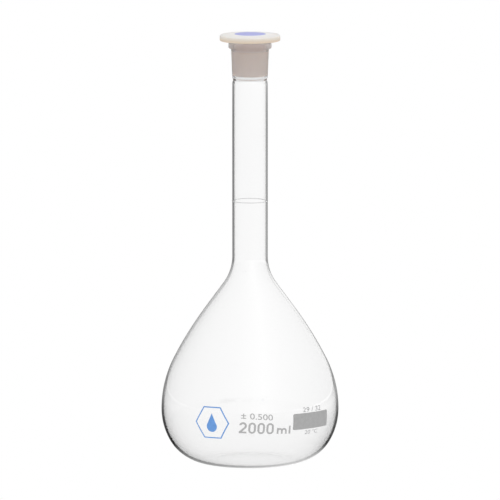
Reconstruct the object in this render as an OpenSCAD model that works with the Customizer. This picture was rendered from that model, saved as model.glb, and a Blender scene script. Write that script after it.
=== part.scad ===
// Volumetric flask: pear-shaped glass bulb, long neck with one graduation ring, ground socket with a
// rolled rim, and a hollow stopper with a disc snapped into its head.
// Millimetres. The origin is the centre of the foot, +Z runs up the axis and the front faces -Y.

/* [Bulb] */
// Widest outer radius of the bulb
body_r = 79.2; // [78.9:0.1:79.5]
// Thickness of the glass in bulb and neck
wall = 1.9; // [1.8:0.05:2.1]
// Outer radius where the heel meets the flat foot
foot_r = 36.5; // [36:0.1:37]
// Inner radius of the flat foot, where the push-up starts
push_up_r = 31; // [26:0.5:33]
// Height of the push-up in the middle of the foot
push_up_h = 1.6; // [1:0.1:2.5]
// Radius of the arc just below the widest level
belly_r = 56.5; // [55.5:0.5:57.5]
// Angle below level where the belly arc hands over to the tighter heel arc
belly_angle = 29; // [28:0.5:30]
// Radius of the arc just above the widest level
shoulder_r = 99.9; // [98.6:0.1:101]
// Angle above level where that arc hands over to the flatter one
shoulder_angle = 27; // [26:0.5:28]
// Radius of the nearly straight arc that leads to the cone
slope_r = 330; // [310:5:350]
// Angle above level of the cone's normal
cone_angle = 36.2; // [35.9:0.1:36.6]
// Radius of the hollow curve from the cone into the neck
fillet_r = 40; // [38:0.5:44]

/* [Neck and graduation] */
// Outer radius of the neck
neck_r = 15.85; // [15.6:0.05:16.1]
// Content up to the graduation ring, in millilitres
capacity = 2000; // [1990:1:2010]
// Height of the painted graduation line
ring_line = 0.6; // [0.4:0.1:1]

/* [Ground socket] */
// Height of the flask without its stopper
flask_h = 378.5; // [375:0.5:385]
// Length of the ground taper
ground_len = 32; // [30:1:34]
// Wide end diameter of the ground taper
ground_d = 29.2; // [29:0.1:29.4]
// Taper on the diameter: one millimetre in so many
taper = 10; // [9:1:12]
// Thickness of the glass around the ground taper at its wide end
socket_wall = 2.6; // [2.4:0.05:2.8]
// The same at its narrow end
socket_end_wall = 2.8; // [2.6:0.05:3]
// Depth of the waist just below the ground taper
waist = 0.7; // [0:0.1:0.8]
// Length over which the socket blends into the neck
blend_len = 5; // [4:0.5:7]
// Outer radius of the rolled rim
rim_r = 19.3; // [19:0.1:20]
// Height of the rolled rim
rim_h = 6; // [5:0.1:7]
// Rounding of the rim's edges
rim_round = 1.7; // [1:0.1:2.4]

/* [Stopper] */
// Outer radius of the stopper's head
head_r = 27; // [25:0.1:29]
// Height of the head at its edge
head_h = 5.1; // [4.5:0.1:6.5]
// Rise of the head's top from its edge to the disc
crown_h = 0.9; // [0.4:0.1:1.5]
// Gap between the rim and the underside of the head
head_gap = 1.1; // [0.4:0.1:2]
// Length of the plug below the rim
plug_len = 30.5; // [28:0.5:31]
// Thickness of the stopper's walls
shell_wall = 1.6; // [1.4:0.1:2]
// Radial clearance of the plug in the ground taper
plug_fit = 0.05; // [0.02:0.01:0.1]

/* [Insert] */
// Radius of the coloured disc in the head
disc_r = 13.8; // [13.6:0.1:15]
// Thickness of the disc
disc_t = 1.8; // [1.5:0.1:2.2]
// Radial clearance of the disc in its recess
disc_fit = 0.05; // [0.02:0.01:0.1]
// Length of the snap skirt below the disc
skirt_len = 4; // [3:0.5:6]
// Thickness of the snap skirt
skirt_t = 1.2; // [1:0.1:1.6]

/* [Fired enamel] */
// Thickness of the enamel
enamel_t = 0.2; // [0.1:0.05:0.3]
// Height of the middle of the prints above the bench
print_h = 46; // [43:0.2:48]
// Direction of the middle of the capacity print, degrees to the right of the front
capacity_az = 9.4; // [6:0.2:11]
// Height of the foot of the capacity print above the bench
capacity_h = 36.5; // [35:0.1:38]
// Fall of the capacity print towards the right, in degrees
capacity_fall = 2.8; // [0:0.2:4]
// Height of its digits
digit_h = 10.2; // [9.5:0.1:11.5]
// Width of a digit
digit_w = 6.7; // [6.6:0.1:7.2]
// Stroke of the digits
digit_stroke = 1.8; // [1.6:0.1:2.2]
// Direction of the writing patch, degrees to the right of the front
patch_az = 44.5; // [40:0.5:48]
// Width of the writing patch along the glass
patch_w = 42; // [36:1:44]
// Height of the writing patch
patch_h = 14.5; // [12:0.5:16]
// Direction of the emblem, degrees to the left of the front
emblem_az = 25.5; // [22:0.5:30]
// Half width of the emblem, corner to corner
emblem_r = 16.5; // [14:0.5:17]

/* [Hidden] */

$fn = 96;
arc_steps = 14;   // straight pieces in each curve of the bulb's outline
cut_len = 2 * body_r;   // longer than any cut needs to be
over = 0.5;   // overshoot of a cut past the faces it opens

// Bulb outline: tangent arcs from the foot up to the neck, and one straight cone. The arcs' centres stay
// put when the outline moves in by t, so the wall is equally thick all over.
heel_r = (body_r - foot_r - belly_r * (1 - cos(belly_angle))) / cos(belly_angle);
equator_h = heel_r + (belly_r - heel_r) * sin(belly_angle);
slope_cx = body_r - shoulder_r - (slope_r - shoulder_r) * cos(shoulder_angle);
slope_cz = equator_h - (slope_r - shoulder_r) * sin(shoulder_angle);
slope_end_r = slope_cx + slope_r * cos(cone_angle);
slope_end_z = slope_cz + slope_r * sin(cone_angle);
fillet_cut = fillet_r * (1 - cos(cone_angle));
cone_len = (slope_end_r - neck_r - fillet_cut) / sin(cone_angle);
neck_h = slope_end_z + cone_len * cos(cone_angle) + fillet_r * sin(cone_angle);

// Points of an arc about [cx, cz] from angle a0 to a1
function arc(cx, cz, r, a0, a1, steps = arc_steps) =
    [for (i = [0:steps]) let (a = a0 + (a1 - a0) * i / steps) [cx + r * cos(a), cz + r * sin(a)]];

function heel(t) = arc(foot_r, heel_r, heel_r - t, -90, -belly_angle);
function belly(t) = arc(body_r - belly_r, equator_h, belly_r - t, -belly_angle, 0);
function shoulder(t) = arc(body_r - shoulder_r, equator_h, shoulder_r - t, 0, shoulder_angle);
function slope(t) = arc(slope_cx, slope_cz, slope_r - t, shoulder_angle, cone_angle, 5);
function fillet(t) = arc(neck_r + fillet_r, neck_h, fillet_r + t, 180 + cone_angle, 180);

// The whole outline of the bulb, t inside its outer face, without repeated points
function tail(list) = [for (i = [1:len(list) - 1]) list[i]];
function outline(t) =
    concat(heel(t), tail(belly(t)), tail(shoulder(t)), tail(slope(t)), fillet(t));

// Push-up: a shallow dome over push_up_r, t above its lower face
dome_r = (pow(push_up_r, 2) + pow(push_up_h, 2)) / (2 * push_up_h);
dome_cz = push_up_h - dome_r;
function dome(t) =
    let (edge = acos((t - dome_cz) / (dome_r + t)))
    [for (i = [0:8]) let (a = edge * i / 8) [(dome_r + t) * sin(a), dome_cz + (dome_r + t) * cos(a)]];

// Content below a level, in cubic millimetres, summed over the inner outline as cut cones
function cut_cone(p, q) = PI * abs(q[1] - p[1]) * (p[0] * p[0] + p[0] * q[0] + q[0] * q[0]) / 3;
function total(list, i = 0) = i < len(list) ? list[i] + total(list, i + 1) : 0;
function content(points) =
    total([for (i = [0:len(points) - 2]) cut_cone(points[i], points[i + 1])]);
bulb_content = content(outline(wall)) - content(dome(wall));
bore_r = neck_r - wall;
ring_h = neck_h + (capacity * 1000 - bulb_content) / (PI * bore_r * bore_r);

// Ground socket and stopper
ground_r = ground_d / 2;
ground_end_r = ground_r - ground_len / taper / 2;
ground_end_h = flask_h - ground_len;
socket_base_h = ground_end_h - blend_len;
rim_base_h = flask_h - rim_h;
head_base_h = flask_h + head_gap;
head_edge_h = head_base_h + head_h;
head_top_h = head_edge_h + crown_h;
head_round = 0.8;   // rounding of the head's edges
plug_end_h = flask_h - plug_len;
recess_r = disc_r + disc_fit;
recess_h = head_top_h - disc_t;
disc_rest = 0.05;   // gap under the disc in its recess

// Radius of the ground taper at height z
function ground_at(z) = ground_r - (flask_h - z) / taper / 2;
// Radius of the plug and of its hollow at height z
function plug_at(z) = ground_at(z) - plug_fit;
function hollow_at(z) = plug_at(z) - shell_wall;
skirt_r = hollow_at(recess_h - skirt_len) - 0.3;

// Bulb: blown glass, open at the top, with a flat foot and a push-up in its middle
module bulb() {
    color("lightcyan", 0.4)
    rotate_extrude()
    polygon(concat(
        dome(0),
        outline(0),
        reversed(outline(wall)),
        reversed(dome(wall))
    ));
}

function reversed(list) = [for (i = [len(list) - 1:-1:0]) list[i]];

// Neck: a plain tube from the bulb to the socket
module neck_tube() {
    color("lightcyan", 0.4)
    translate([0, 0, neck_h])
    difference() {
        cylinder(h = socket_base_h - neck_h, r = neck_r);
        translate([0, 0, -over])
        cylinder(h = socket_base_h - neck_h + 2 * over, r = bore_r);
    }
}

// Socket: thicker glass around the ground taper, rolled into a rim at the mouth
module ground_socket() {
    rim_edges = concat(
        arc(rim_r - rim_round, rim_base_h + rim_round, rim_round, -90, 0, 6),
        arc(rim_r - rim_round, flask_h - rim_round, rim_round, 0, 90, 6)
    );
    waist_h = blend_len + 1;
    waist_end_r = ground_at(socket_base_h + waist_h) + socket_end_wall;
    waist_edge = [
        for (i = [0:8])
        let (rise = i / 8, dip = waist * (1 - cos(360 * rise)) / 2)
        [neck_r + (waist_end_r - neck_r) * rise - dip, socket_base_h + waist_h * rise]
    ];
    color("lightcyan", 0.6)
    rotate_extrude()
    polygon(concat(
        [[bore_r, socket_base_h]],
        waist_edge,
        [[ground_at(rim_base_h) + socket_wall, rim_base_h]],
        rim_edges,
        [
            [ground_r, flask_h],
            [ground_end_r, ground_end_h],
        ]
    ));
}

// Graduation ring: a fired line all round the neck at the height of the stated content
module graduation_ring() {
    color("gainsboro")
    translate([0, 0, ring_h - ring_line / 2])
    difference() {
        cylinder(h = ring_line, r = neck_r + enamel_t);
        translate([0, 0, -over])
        cylinder(h = ring_line + 2 * over, r = neck_r);
    }
}

// Enamel skin on the widest part of the bulb, which the prints are cut from
module enamel_skin() {
    rotate_extrude()
    polygon(concat(
        belly(0),
        tail(shoulder(0)),
        reversed(tail(shoulder(-enamel_t))),
        reversed(belly(-enamel_t))
    ));
}

// A flat outline thrown onto the skin from direction az, degrees round from the front
module print_at(az) {
    intersection() {
        enamel_skin();
        rotate([0, 0, az])
        translate([0, 0, print_h])
        rotate([90, 0, 0])
        linear_extrude(cut_len)
        children();
    }
}

// Writing patch: matt enamel field with rounded corners
module writing_patch() {
    corner = 1.5;
    color("darkgray")
    print_at(patch_az)
    union() {
        square([patch_w - 2 * corner, patch_h], center = true);
        square([patch_w, patch_h - 2 * corner], center = true);
        for (x = [-1, 1], y = [-1, 1])
            translate([x * (patch_w / 2 - corner), y * (patch_h / 2 - corner)])
            circle(r = corner, $fn = 24);
    }
}

// Outline of an upright oval digit
function oval(w, h, x, y) = concat(
    arc(x + w / 2, y + h - w / 2, w / 2, 0, 180, 10),
    arc(x + w / 2, y + w / 2, w / 2, 180, 360, 10)
);

// Digit zero: an oval ring, thinner above and below
module digit_zero() {
    difference() {
        polygon(oval(digit_w, digit_h, 0, 0));
        polygon(oval(
            digit_w - 2 * digit_stroke,
            digit_h - 1.8 * digit_stroke,
            digit_stroke,
            0.9 * digit_stroke
        ));
    }
}

// Digit two: a hooked bowl, a slanting stroke and a flat foot
module digit_two() {
    bowl_r = digit_w / 2;
    bowl_h = digit_h - bowl_r;
    polygon(concat(
        [
            [0, 0],
            [digit_w, 0],
            [digit_w, 0.9 * digit_stroke],
            [0.43 * digit_w, 0.9 * digit_stroke],
        ],
        arc(bowl_r, bowl_h, bowl_r, -35, 170, 12),
        reversed(arc(bowl_r, bowl_h, bowl_r - digit_stroke, -35, 170, 12)),
        [[0, 0.7 * digit_stroke]]
    ));
}

// Letter m as one outline: three legs under two arches
module letter_m(stroke, pitch, height) {
    arch_r = (pitch + stroke) / 2;
    hole_r = arch_r - stroke;
    spring_h = height - arch_r;
    valley = acos(pitch / 2 / arch_r);
    arch_start = 110;
    polygon(concat(
        [[0, 0], [stroke, 0]],
        reversed(arc(arch_r, spring_h, hole_r, 0, 180, 10)),
        [[pitch, 0], [pitch + stroke, 0]],
        reversed(arc(arch_r + pitch, spring_h, hole_r, 0, 180, 10)),
        [[2 * pitch, 0], [2 * pitch + stroke, 0]],
        arc(arch_r + pitch, spring_h, arch_r, 0, 180 - valley, 8),
        tail(arc(arch_r, spring_h, arch_r, valley, arch_start, 6)),
        [[stroke, height], [0, height]]
    ));
}

// Capacity print: the content in millilitres
module capacity_print() {
    two_x = -22.7;
    zero_x = -14.6;
    zero_pitch = 8.05;
    unit_x = 11.2;
    unit_y = 0.5;
    unit_stroke = 1.6;
    unit_pitch = 3.85;
    unit_h = 5.3;
    stem_x = 22.3;
    stem_h = 7.3;
    color("darkgray")
    print_at(capacity_az)
    translate([0, capacity_h - print_h])
    rotate(-capacity_fall) {
        translate([two_x, 0])
        digit_two();
        for (i = [0:2])
            translate([zero_x + i * zero_pitch, 0])
            digit_zero();
        translate([unit_x, unit_y])
        letter_m(unit_stroke, unit_pitch, unit_h);
        translate([stem_x, unit_y])
        square([unit_stroke, stem_h]);
    }
}

// Emblem: a plain hexagonal frame around a drop
module emblem() {
    line = 1.2;
    drop_r = emblem_r * 0.3;
    drop_tip = emblem_r * 0.72;
    shoulder_x = drop_r * 0.9;
    shoulder_y = drop_r * 0.35;
    color("cornflowerblue") {
        print_at(-emblem_az)
        difference() {
            circle(r = emblem_r, $fn = 6);
            circle(r = emblem_r - line, $fn = 6);
        }
        print_at(-emblem_az)
        translate([0, -drop_r * 0.7])
        union() {
            circle(r = drop_r);
            polygon([[0, drop_tip], [-shoulder_x, shoulder_y], [shoulder_x, shoulder_y]]);
        }
    }
}

// Stopper: head and hollow plug in one moulding, closed below, open above for the disc
module stopper_shell() {
    color("whitesmoke")
    rotate_extrude()
    polygon(concat(
        [
            [0, plug_end_h],
            [plug_at(plug_end_h), plug_end_h],
            [plug_at(head_base_h), head_base_h],
        ],
        arc(head_r - head_round, head_base_h + head_round, head_round, -90, 0, 6),
        arc(head_r - head_round, head_edge_h - head_round, head_round, 0, 90, 6),
        [
            [recess_r + shell_wall, head_top_h],
            [recess_r, head_top_h],
            [recess_r, recess_h],
            [hollow_at(recess_h), recess_h],
            [hollow_at(plug_end_h + shell_wall), plug_end_h + shell_wall],
            [0, plug_end_h + shell_wall],
        ]
    ));
}

// Insert: coloured disc with a short skirt that snaps into the plug's hollow
module stopper_insert() {
    color("cornflowerblue")
    union() {
        translate([0, 0, recess_h + disc_rest])
        cylinder(h = disc_t, r = disc_r);
        translate([0, 0, recess_h + disc_rest - skirt_len])
        difference() {
            cylinder(h = skirt_len + over, r = skirt_r);
            translate([0, 0, -over])
            cylinder(h = skirt_len + over, r = skirt_r - skirt_t);
        }
    }
}

bulb();
neck_tube();
ground_socket();
graduation_ring();
capacity_print();
writing_patch();
emblem();
stopper_shell();
stopper_insert();
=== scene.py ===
import math

import bmesh
import bpy
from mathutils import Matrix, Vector


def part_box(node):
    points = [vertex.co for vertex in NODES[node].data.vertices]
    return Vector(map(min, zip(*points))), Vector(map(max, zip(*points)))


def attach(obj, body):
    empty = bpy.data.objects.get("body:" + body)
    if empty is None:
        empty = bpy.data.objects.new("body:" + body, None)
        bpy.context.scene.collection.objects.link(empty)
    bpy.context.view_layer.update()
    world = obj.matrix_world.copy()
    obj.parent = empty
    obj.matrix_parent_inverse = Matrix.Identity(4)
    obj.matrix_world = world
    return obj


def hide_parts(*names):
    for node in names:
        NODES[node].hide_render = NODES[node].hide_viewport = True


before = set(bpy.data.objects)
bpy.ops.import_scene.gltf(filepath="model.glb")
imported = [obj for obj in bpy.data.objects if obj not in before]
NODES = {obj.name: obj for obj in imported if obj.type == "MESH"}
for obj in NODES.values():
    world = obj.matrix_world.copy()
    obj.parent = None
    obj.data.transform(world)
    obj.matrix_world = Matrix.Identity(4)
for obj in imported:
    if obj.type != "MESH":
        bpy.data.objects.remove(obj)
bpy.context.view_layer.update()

SOCKET_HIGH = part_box("ground_socket")[1]
HEAD_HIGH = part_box("stopper_shell")[1]
MM = 0.001
NEAR_ZERO = 1e-6
GLASS_IOR = 1.473
GLASS_SEGMENTS = 192
PLASTIC_SEGMENTS = 160

# How bright the floor and the surround are: seen straight or through the glass, as light that falls on
# the plastic and the enamel, and mirrored beyond the near wall of the glass.
WHITE = 1.0
AMBIENT = 1.15
FAR_WALL = 1.05
# How bright they are in the other reflections. "Outer" is mirrored on the outside of the glass, "near"
# inside its near wall. The floor is lit under the foot, darkest just round it and lighter again from about
# half a metre out, as (metres from the axis, level), times LEFT_FLOOR at the far left up to RIGHT_FLOOR at
# the far right. The sky is dark to the sides and brightest to the right of the middle, as (how far to the
# right it points, level).
FLOOR_OUTER = [(0.045, 1), (0.09, 0.1), (0.3, 0.1), (0.8, 0.4), (2.5, 0.2), (5, 1)]
FLOOR_NEAR = [(0.045, 0.3), (0.09, 0), (0.3, 0.1), (0.8, 0.4), (2.5, 0.3), (5, 0.5)]
LEFT_FLOOR, RIGHT_FLOOR = 0.6, 1.4
SKY_OUTER = [(-1, 0), (-0.3, 0.4), (0.3, 1.2), (1, 0.2)]
SKY_NEAR = [(-1, 0.3), (-0.3, 0.9), (0.3, 1.3), (1, 0.5)]


# ---- outlines of the turned pieces, read from the CAD ----

def cut_outline(*names):
    """The walls of these nodes cut at y = 0, x >= 0, as ordered (radius, height) points.

    A face that two of the nodes share drops out. The outline starts at its lower end, and both ends
    are carried to the axis.
    """
    edges = set()
    for name in names:
        mesh = NODES[name].data
        flat = {
            v.index: (round(v.co.x, 6), round(v.co.z, 6))
            for v in mesh.vertices
            if abs(v.co.y) < NEAR_ZERO and v.co.x > -NEAR_ZERO
        }
        pairs = (tuple(e.vertices) for e in mesh.edges)
        own = {frozenset((flat[a], flat[b])) for a, b in pairs if a in flat and b in flat}
        edges ^= {edge for edge in own if len(edge) == 2}
    links = {}
    for a, b in edges:
        links.setdefault(a, []).append(b)
        links.setdefault(b, []).append(a)
    ends = sorted((p for p, to in links.items() if len(to) == 1), key=lambda p: p[1])
    chain = [ends[0]]
    while chain[-1] != ends[1]:
        before = chain[-2] if len(chain) > 1 else None
        chain.append(next(p for p in links[chain[-1]] if p != before))
    if chain[0][0] > NEAR_ZERO:
        chain.insert(0, (0.0, chain[0][1]))
    if chain[-1][0] > NEAR_ZERO:
        chain.append((0.0, chain[-1][1]))
    return [Vector(p) for p in chain]


def without_straight_points(chain):
    """The chain without points that lie on a straight stretch."""
    kept = [chain[0]]
    least_turn = math.radians(0.05)
    for here, after in zip(chain[1:], chain[2:]):
        if (here - kept[-1]).angle(after - here) > least_turn:
            kept.append(here)
    return kept + [chain[-1]]


def smooth_outline(chain, corner_radius, corner_angle=14, step_angle=1.2, longest=2.5 * MM):
    """The chain with its arcs filled in and each real corner rounded. The angles are in degrees."""
    chain = without_straight_points(chain)
    count = len(chain)
    along = [(b - a) for a, b in zip(chain, chain[1:])]
    turn = [0.0] * count
    for i in range(1, count - 1):
        turn[i] = along[i - 1].angle(along[i])
    widest, lowest = max(p.x for p in chain), min(p.y for p in chain)
    is_corner = [i in (0, count - 1) or math.degrees(turn[i]) > corner_angle for i in range(count)]

    def tangent(i, leg):
        """Direction at point i on that leg's side: shared at a smooth point, the leg's own at a corner."""
        if is_corner[i]:
            return along[leg].normalized()
        before, after = along[i - 1], along[i]
        return (before.normalized() * before.length + after.normalized() * after.length).normalized()

    runs, run = [], [chain[0]]
    for i, leg in enumerate(along):
        a, b = chain[i], chain[i + 1]
        ta, tb = tangent(i, i) * leg.length, tangent(i + 1, i) * leg.length
        bend = math.degrees(ta.angle(leg) + tb.angle(leg))
        least_bend = 0.1
        steps = max(1, math.ceil(bend / step_angle))
        if bend > least_bend:
            steps = max(steps, math.ceil(leg.length / longest))
        for k in range(1, steps + 1):
            # a cubic through both ends, along the tangents there
            u = k / steps
            h0, h1 = 2 * u**3 - 3 * u**2 + 1, u**3 - 2 * u**2 + u
            h2, h3 = -2 * u**3 + 3 * u**2, u**3 - u**2
            point = a * h0 + ta * h1 + b * h2 + tb * h3
            run.append(Vector((min(point.x, widest), max(point.y, lowest))))
        if is_corner[i + 1]:
            runs.append(run)
            run = [b]
    return round_corners(runs, corner_radius)


def shortened(run, cut, at_start):
    """The run with that length cut off its start or its end."""
    points = run if at_start else run[::-1]
    left = cut
    for i in range(len(points) - 1):
        leg = points[i + 1] - points[i]
        if leg.length > left + 1e-7:
            rest = [points[i] + leg.normalized() * left] + points[i + 1 :]
            return rest if at_start else rest[::-1]
        left -= leg.length
    return run


def round_corners(runs, radius, steps=5):
    """The runs joined to one outline, with a small round at each corner between them."""
    most_cut = 0.4
    lengths = [sum((b - a).length for a, b in zip(run, run[1:])) for run in runs]
    outline = list(runs[0])
    for run, length_before, length in zip(runs[1:], lengths, lengths[1:]):
        corner = run[0]
        cut = min(radius, most_cut * length_before, most_cut * length)
        outline = shortened(outline, cut, at_start=False)
        run = shortened(run, cut, at_start=True)
        start, end = outline[-1], run[0]
        for k in range(1, steps):
            u = k / steps
            outline.append(start * (1 - u) ** 2 + corner * 2 * u * (1 - u) + end * u**2)
        outline.extend(run)
    return outline


def split_at(outline, height):
    """The outline with a point added wherever it crosses that height."""
    points = [outline[0]]
    for a, b in zip(outline, outline[1:]):
        if (a.y - height) * (b.y - height) < 0:
            points.append(a.lerp(b, (height - a.y) / (b.y - a.y)))
        points.append(b)
    return points


def lathe(name, outline, segments, slot_of=None):
    """A closed mesh of revolution about Z. slot_of(radius, height) gives a band's material slot."""
    bm = bmesh.new()
    rings = []
    for r, z in outline:
        if r < NEAR_ZERO:
            rings.append([bm.verts.new((0, 0, z))])
            continue
        angles = (2 * math.pi * k / segments for k in range(segments))
        rings.append([bm.verts.new((r * math.cos(a), r * math.sin(a), z)) for a in angles])
    for low, high, a, b in zip(rings, rings[1:], outline, outline[1:]):
        slot = slot_of(*((a + b) / 2)) if slot_of else 0
        for k in range(segments):
            j = (k + 1) % segments
            corners = [low[k % len(low)], low[j % len(low)], high[j % len(high)], high[k % len(high)]]
            face = bm.faces.new(list(dict.fromkeys(corners)))
            face.smooth = True
            face.material_index = slot
    bmesh.ops.recalc_face_normals(bm, faces=bm.faces)
    mesh = bpy.data.meshes.new(name)
    bm.to_mesh(mesh)
    bm.free()
    return add_object(name, mesh)


def add_object(name, data):
    """A new object in the scene, at the origin."""
    thing = bpy.data.objects.new(name, data)
    bpy.context.scene.collection.objects.link(thing)
    return thing


# ---- materials ----

def add(tree, kind, inputs=None, **settings):
    """A node with its settings. inputs maps a socket's name or number to a value or an output."""
    made = tree.nodes.new(kind)
    for key, value in settings.items():
        setattr(made, key, value)
    for key, value in (inputs or {}).items():
        set_or_link(tree, made.inputs[key], value)
    return made


def set_or_link(tree, socket, value):
    """Links an output to the socket, or sets a plain value on it."""
    if isinstance(value, bpy.types.NodeSocket):
        tree.links.new(value, socket)
    else:
        socket.default_value = value


def ramp(tree, value, stops):
    """The colour that a ramp of [(position, (r, g, b))] gives for the value."""
    made = add(tree, "ShaderNodeValToRGB", {"Fac": value})
    elements = made.color_ramp.elements
    while len(elements) < len(stops):
        elements.new(0.5)
    for element, (position, color) in zip(elements, stops):
        element.position = position
        element.color = (*color, 1)
    return made.outputs["Color"]


def noise(tree, place, scale, detail=2.0, roughness=0.5):
    """Soft noise from 0 to 1, with scale for how many lumps go into a metre."""
    inputs = {"Vector": place, "Scale": scale, "Detail": detail, "Roughness": roughness}
    return add(tree, "ShaderNodeTexNoise", inputs).outputs["Fac"]


def bump(tree, height, strength, distance):
    """The normal of a surface that the height raises by up to that distance."""
    inputs = {"Height": height, "Strength": strength, "Distance": distance}
    return add(tree, "ShaderNodeBump", inputs).outputs["Normal"]


def new_material(name, **plain):
    """A Principled material with these plain inputs. Returns (material, tree, shader, object place)."""
    material = bpy.data.materials.new(name)
    material.use_nodes = True
    tree = material.node_tree
    shader = tree.nodes["Principled BSDF"]
    for key, value in plain.items():
        shader.inputs[key.replace("_", " ")].default_value = value
    place = add(tree, "ShaderNodeTexCoord").outputs["Object"]
    return material, tree, shader, place


def glass_material():
    """Clear borosilicate glass, with the long soft waves of blown glass."""
    material, tree, shader, place = new_material(
        "clear_glass", Transmission_Weight=1, Roughness=0, IOR=GLASS_IOR, Base_Color=(0.998, 0.998, 0.998, 1)
    )
    waves = noise(tree, place, 26.0, 1.0, 0.4)
    set_or_link(tree, shader.inputs["Normal"], bump(tree, waves, 0.07, 0.3 * MM))
    return material


def ground_glass_material():
    """The ground taper: the same glass, cut rough, with a warm pinkish tint of painted shade for the
    shadowed plug behind it.
    """
    material, tree, shader, place = new_material(
        "ground_glass", Transmission_Weight=0.5, Roughness=0.6, IOR=GLASS_IOR
    )
    tone = noise(tree, place, 180.0, 3.0, 0.6)
    # the warm pinkish tint is painted shade for the shadowed plug seen through the rough glass; the noise
    # varies it at random
    tint = ramp(tree, tone, [(0.3, (0.96, 0.88, 0.86)), (0.7, (1, 0.92, 0.9))])
    set_or_link(tree, shader.inputs["Base Color"], tint)
    grain = noise(tree, place, 5200.0, 3.0, 0.7)
    set_or_link(tree, shader.inputs["Normal"], bump(tree, grain, 0.5, 0.05 * MM))
    return material


def enamel_material(name, color, roughness, translucence=0.0):
    """Fired screen-print enamel: slightly mottled, with the fine texture of the mesh it went through."""
    material, tree, shader, place = new_material(
        name, Roughness=roughness, Transmission_Weight=translucence, IOR=GLASS_IOR
    )
    cloud = noise(tree, place, 420.0, 4.0, 0.65)
    mottle = 0.06
    darker, lighter = ([c * k for c in color] for k in (1 - mottle, 1 + mottle))
    tint = ramp(tree, cloud, [(0.35, darker), (0.65, lighter)])
    set_or_link(tree, shader.inputs["Base Color"], tint)
    grain = noise(tree, place, 2600.0)
    set_or_link(tree, shader.inputs["Normal"], bump(tree, grain, 0.3, 0.03 * MM))
    return material


def polyethylene_material():
    """Natural polyethylene: waxy and translucent. Its colour carries painted light and shade by height: the
    head is painted cool white on top and painted darker and creamier towards its underside, a painted
    contact shadow darkens the plug just under the head, and the plug below that is a warm pale pink that
    is partly its own colour and partly painted shade."""
    material, tree, shader, place = new_material(
        "natural_polyethylene",
        Roughness=0.42,
        Subsurface_Weight=0.35,
        Subsurface_Radius=(1.0, 0.85, 0.7),
        Subsurface_Scale=2 * MM,
    )
    height = add(tree, "ShaderNodeSeparateXYZ", {"Vector": place}).outputs["Z"]
    painted_shade_span = 38 * MM
    # painted light and shade by height: the head lighter on top and darker towards its underside, and a
    # painted contact shadow on the plug just under the head
    tint = ramp(
        tree,
        step_up(tree, height, HEAD_HIGH.z - painted_shade_span, HEAD_HIGH.z),
        [
            # the plug: a warm pale pink, partly its own colour and partly painted shade
            (0.0, (0.92, 0.8, 0.75)),
            (0.72, (0.92, 0.79, 0.72)),
            # 0.8 and 0.87: painted contact shadow on the plug just under the head and painted shade on the
            #               head's underside; 0.95 and 1.0: the head painted lighter towards its top
            (0.8, (0.78, 0.66, 0.6)),
            (0.87, (0.65, 0.54, 0.42)),
            (0.95, (0.71, 0.67, 0.61)),
            (1.0, (0.82, 0.81, 0.8)),
        ],
    )
    cloud = noise(tree, place, 120.0, 3.0)
    random_tone = add(tree, "ShaderNodeMapRange", {"Value": cloud, "To Min": 0.96, "To Max": 1.03})
    painted_shade_and_mottle = add(tree, "ShaderNodeVectorMath", {0: tint, "Scale": random_tone.outputs["Result"]}, operation="SCALE")
    set_or_link(tree, shader.inputs["Base Color"], painted_shade_and_mottle.outputs["Vector"])
    grain = noise(tree, place, 900.0, 4.0, 0.6)
    set_or_link(tree, shader.inputs["Normal"], bump(tree, grain, 0.2, 0.05 * MM))
    return material


def blue_plastic_material():
    """Dyed polyethylene of the disc, with a fine spark texture."""
    material, tree, shader, place = new_material("blue_plastic_moulded", Roughness=0.5)
    cloud = noise(tree, place, 160.0, 3.0, 0.6)
    tint = ramp(tree, cloud, [(0.3, (0.36, 0.375, 0.71)), (0.7, (0.4, 0.42, 0.77))])
    set_or_link(tree, shader.inputs["Base Color"], tint)
    grain = noise(tree, place, 1500.0, 3.0)
    set_or_link(tree, shader.inputs["Normal"], bump(tree, grain, 0.25, 0.05 * MM))
    return material


# ---- pieces ----

def build_flask():
    """One continuous piece of glass, from the foot to the rolled rim and back down inside. Returns its
    outline."""
    outline = smooth_outline(cut_outline("bulb", "neck_tube", "ground_socket"), 0.5 * MM)
    ground_bottom = SOCKET_HIGH.z - 30.2 * MM
    within_wall = 15 * MM
    outline = split_at(outline, ground_bottom)

    def slot_of(r, z):
        return int(z > ground_bottom and r < within_wall)

    flask = lathe("flask_glass", outline, GLASS_SEGMENTS, slot_of)
    flask.data.materials.append(glass_material())
    flask.data.materials.append(ground_glass_material())
    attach(flask, "flask")
    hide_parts("bulb", "neck_tube", "ground_socket")
    return outline


def build_stopper():
    """The moulded stopper and the disc in its head."""
    outline = smooth_outline(cut_outline("stopper_shell"), 0.4 * MM)
    shell = lathe("stopper_moulding", outline, PLASTIC_SEGMENTS)
    shell.data.materials.append(polyethylene_material())
    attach(shell, "stopper")
    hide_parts("stopper_shell")

    outline = smooth_outline(cut_outline("stopper_insert"), 0.3 * MM)
    disc = lathe("stopper_disc", outline, PLASTIC_SEGMENTS)
    disc.data.materials.append(blue_plastic_material())
    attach(disc, "insert_disc")
    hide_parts("stopper_insert")


def radius_at(outline):
    """A function that gives the bulb's outer radius at a height."""
    widest = max(range(len(outline)), key=lambda i: outline[i].x)
    top = max(range(len(outline)), key=lambda i: outline[i].y)
    outside_foot = 0.5 * outline[widest].x
    first = next(i for i in range(widest) if outline[i].x > outside_foot)
    side = outline[first : top + 1]

    def radius(z):
        for a, b in zip(side, side[1:]):
            if a.y <= z <= b.y and b.y > a.y:
                return a.x + (b.x - a.x) * (z - a.y) / (b.y - a.y)
        raise ValueError(f"no wall at height {z}")

    return radius


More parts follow.
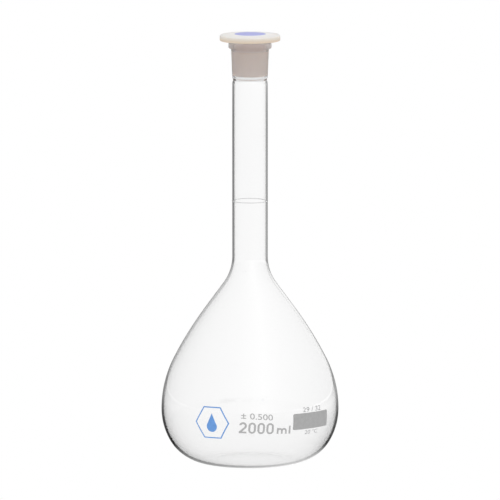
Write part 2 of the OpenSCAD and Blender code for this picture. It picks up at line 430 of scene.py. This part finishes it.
def flat_text(name, words, size, spread, fall):
    """Lettering as a flat mesh about the origin, size (width, height), falling that many degrees to the
    right. spread makes its strokes bolder."""
    curve = bpy.data.curves.new(name, "FONT")
    curve.body = words
    curve.size = 1
    curve.offset = spread
    curve.resolution_u = 6
    curve.align_x = "CENTER"
    curve.align_y = "CENTER"
    source = add_object(name + "_source", curve)
    bpy.context.view_layer.update()
    mesh = bpy.data.meshes.new_from_object(source)
    bpy.data.objects.remove(source)
    bm = bmesh.new()
    bm.from_mesh(mesh)
    bpy.data.meshes.remove(mesh)
    low_x, high_x = min(v.co.x for v in bm.verts), max(v.co.x for v in bm.verts)
    low_y, high_y = min(v.co.y for v in bm.verts), max(v.co.y for v in bm.verts)
    width, height = size
    slope = math.tan(math.radians(fall))
    for v in bm.verts:
        v.co.x = (v.co.x - (low_x + high_x) / 2) * width / (high_x - low_x)
        v.co.y = (v.co.y - (low_y + high_y) / 2) * height / (high_y - low_y) - v.co.x * slope
    return bm


def wrapped_text(name, words, size, azimuth, z, radius, material, spread=0.0, fall=0.0):
    """Lettering laid on the bulb, centred at that azimuth (degrees right of the front) and height."""
    bm = flat_text(name, words, size, spread, fall)
    strip = 1 * MM
    strips_each_side = int(size[0] / 2 / strip)
    for k in range(-strips_each_side, strips_each_side + 1):
        everything = bm.verts[:] + bm.edges[:] + bm.faces[:]
        bmesh.ops.bisect_plane(bm, geom=everything, plane_co=(k * strip, 0, 0), plane_no=(1, 0, 0))
    proud = 0.12 * MM
    for v in bm.verts:
        level = z + v.co.y
        around = radius(level)
        angle = math.radians(azimuth) + v.co.x / around
        v.co = ((around + proud) * math.sin(angle), -(around + proud) * math.cos(angle), level)
    for face in bm.faces:
        face.smooth = False
    out = bpy.data.meshes.new(name)
    bm.to_mesh(out)
    bm.free()
    piece = add_object(name, out)
    piece.data.materials.append(material)
    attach(piece, "flask")


def build_prints(outline):
    """Fired enamel: the ring, the capacity, the patch and the emblem from the CAD, and three short lines of
    numbers and units, given as size, degrees right of the front, and height."""
    radius = radius_at(outline)
    grey = enamel_material("grey_enamel", (0.36, 0.36, 0.365), 0.45)
    pale = enamel_material("pale_enamel", (0.42, 0.42, 0.42), 0.45)
    patch = enamel_material("patch_enamel_matt", (0.36, 0.36, 0.36), 0.8)
    ring = enamel_material("ring_enamel", (0.88, 0.88, 0.88), 0.4, translucence=0.8)
    blue = enamel_material("blue_enamel_fired", (0.13, 0.31, 0.68), 0.4)
    fired = {"capacity_print": pale, "writing_patch": patch, "graduation_ring": ring, "emblem": blue}
    for node, material in fired.items():
        for slot in NODES[node].material_slots:
            slot.material = material

    tolerance = (28.6 * MM, 5.4 * MM), 4.6, 52.4 * MM
    joint_size = (22.0 * MM, 4.3 * MM), 44.6, 56.2 * MM
    temperature = (15.4 * MM, 3.8 * MM), 44.5, 35.8 * MM
    wrapped_text("print_tolerance", "± 0.500", *tolerance, radius, pale, spread=0.01, fall=4.4)
    wrapped_text("print_joint_size", "29 / 32", *joint_size, radius, grey, spread=0.005)
    wrapped_text("print_temperature", "20 °C", *temperature, radius, grey, spread=0.005)


# ---- stage, light and camera ----

def build_stage():
    """A white floor under an even white surround. In reflections both have dark and bright parts, as a
    studio has."""
    half_size = 40.0
    corners = [(x * half_size, y * half_size, 0) for x, y in ((-1, -1), (1, -1), (1, 1), (-1, 1))]
    mesh = bpy.data.meshes.new("floor")
    mesh.from_pydata(corners, [], [(0, 1, 2, 3)])
    floor = add_object("floor", mesh)
    gap_below_foot = 0.1 * MM
    floor.location.z = -gap_below_foot
    floor.data.materials.append(floor_material())
    surround()


def by_path(tree, kind, outer, near):
    """A glowing shader of that kind. Its strength depends on how its light reaches the eye: mirrored on
    the outside of the glass, mirrored inside the near wall, mirrored beyond that, scattered by a surface,
    or straight through."""
    path = add(tree, "ShaderNodeLightPath").outputs

    def from_depth(depth, least, shallower, deeper):
        """The value deeper for light that has had at least that many such events, otherwise shallower."""
        test = add(tree, "ShaderNodeMath", {0: path[depth], 1: least - 0.5}, operation="GREATER_THAN")
        return blend(tree, test.outputs[0], shallower, deeper)

    inside = from_depth("Transmission Depth", 3, near, FAR_WALL)
    mirrored = from_depth("Transmission Depth", 1, outer, inside)
    direct = from_depth("Diffuse Depth", 1, WHITE, AMBIENT)
    strength = from_depth("Glossy Depth", 1, direct, mirrored)
    return add(tree, kind, {"Strength": strength}).outputs[0]


def grey_ramp(tree, value, stops):
    """The level that a ramp of [(position, level)] gives for the value."""
    return ramp(tree, value, [(position, (level,) * 3) for position, level in stops])


def blend(tree, factor, first, second):
    """A value that goes from first to second as the factor goes from 0 to 1."""
    return add(tree, "ShaderNodeMix", {"Factor": factor, 2: first, 3: second}).outputs[0]


def step_up(tree, value, low, high):
    """0 below low, 1 above high, and even between them."""
    return add(tree, "ShaderNodeMapRange", {"Value": value, "From Min": low, "From Max": high}).outputs[0]


def sideways(tree, vector):
    """How far to the side a horizontal direction points: -1 left, 0 straight back or forward, 1 right."""
    flat = add(tree, "ShaderNodeVectorMath", {0: vector, 1: (1, 1, 0)}, operation="MULTIPLY").outputs[0]
    unit = add(tree, "ShaderNodeVectorMath", {0: flat}, operation="NORMALIZE").outputs[0]
    return add(tree, "ShaderNodeSeparateXYZ", {"Vector": unit}).outputs["X"]


def floor_level(tree, distance, across, stops):
    """The level of the floor at that distance and that far across.

    The ramp runs over distance / (distance + half_way), which is 0 at the axis and 1 at the horizon.
    """
    half_way = 0.25
    more = add(tree, "ShaderNodeMath", {0: distance, 1: half_way}, operation="ADD").outputs[0]
    reach = add(tree, "ShaderNodeMath", {0: distance, 1: more}, operation="DIVIDE").outputs[0]
    level = grey_ramp(tree, reach, [(metres / (metres + half_way), level) for metres, level in stops])
    side = blend(tree, step_up(tree, across, -1, 1), LEFT_FLOOR, RIGHT_FLOOR)
    return add(tree, "ShaderNodeMath", {0: level, 1: side}, operation="MULTIPLY").outputs[0]


def floor_material():
    """The floor's glow: even white seen straight, and its own levels in the glass."""
    material = bpy.data.materials.new("floor_white")
    material.use_nodes = True
    tree = material.node_tree
    tree.nodes.clear()
    place = add(tree, "ShaderNodeNewGeometry").outputs["Position"]
    distance = add(tree, "ShaderNodeVectorMath", {0: place}, operation="LENGTH").outputs["Value"]
    across = sideways(tree, place)
    outer = floor_level(tree, distance, across, FLOOR_OUTER)
    near = floor_level(tree, distance, across, FLOOR_NEAR)
    glow = by_path(tree, "ShaderNodeEmission", outer, near)
    add(tree, "ShaderNodeOutputMaterial", {"Surface": glow})
    return material


def surround():
    """The glow of the surround: even white seen straight, and its own levels in the glass."""
    world = bpy.data.worlds.new("studio")
    bpy.context.scene.world = world
    world.use_nodes = True
    tree = world.node_tree
    tree.nodes.clear()
    direction = add(tree, "ShaderNodeTexCoord").outputs["Generated"]
    across = add(tree, "ShaderNodeSeparateXYZ", {"Vector": direction}).outputs["X"]
    side = step_up(tree, across, -1, 1)
    outer, near = (
        grey_ramp(tree, side, [((x + 1) / 2, level) for x, level in stops])
        for stops in (SKY_OUTER, SKY_NEAR)
    )
    glow = by_path(tree, "ShaderNodeBackground", outer, near)
    add(tree, "ShaderNodeOutputWorld", {"Surface": glow})


def area_light(name, place, size, watts):
    """A soft box aimed at the middle of the flask, which doesn't show in the glass."""
    data = bpy.data.lights.new(name, "AREA")
    data.shape = "RECTANGLE"
    data.size, data.size_y = size
    data.energy = watts
    lamp = add_object(name, data)
    lamp.location = place
    aim = Vector((0, 0, SOCKET_HIGH.z / 2)) - Vector(place)
    lamp.rotation_euler = aim.to_track_quat("-Z", "Y").to_euler()
    lamp.visible_glossy = False
    lamp.visible_transmission = False


def build_lights():
    """Three soft boxes, for the plastic and the enamel."""
    area_light("key_left", place=(-1.4, -1.2, 1.5), size=(1.0, 1.0), watts=3.5)
    area_light("fill_right", place=(1.7, -0.9, 1.0), size=(1.0, 1.2), watts=4.5)
    area_light("top", place=(0.0, 0.3, 2.2), size=(1.4, 1.4), watts=6)


def build_camera():
    """A long lens from just above the level of the flask, so its sides stay parallel."""
    elevation = math.radians(7.8)
    distance = 10.0
    frame_height = 0.4468
    middle = Vector((0, 0, 0.19115))
    data = bpy.data.cameras.new("camera")
    data.sensor_width = 36
    data.lens = data.sensor_width * distance / frame_height
    data.clip_end = 200
    camera = add_object("camera", data)
    away = Vector((0, -math.cos(elevation), math.sin(elevation)))
    camera.location = middle + away * distance
    camera.rotation_euler = (-away).to_track_quat("-Z", "Y").to_euler()
    bpy.context.scene.camera = camera


bpy.context.scene.view_settings.view_transform = "Standard"
build_camera()
glass_outline = build_flask()
build_stopper()
build_prints(glass_outline)
build_stage()
build_lights()
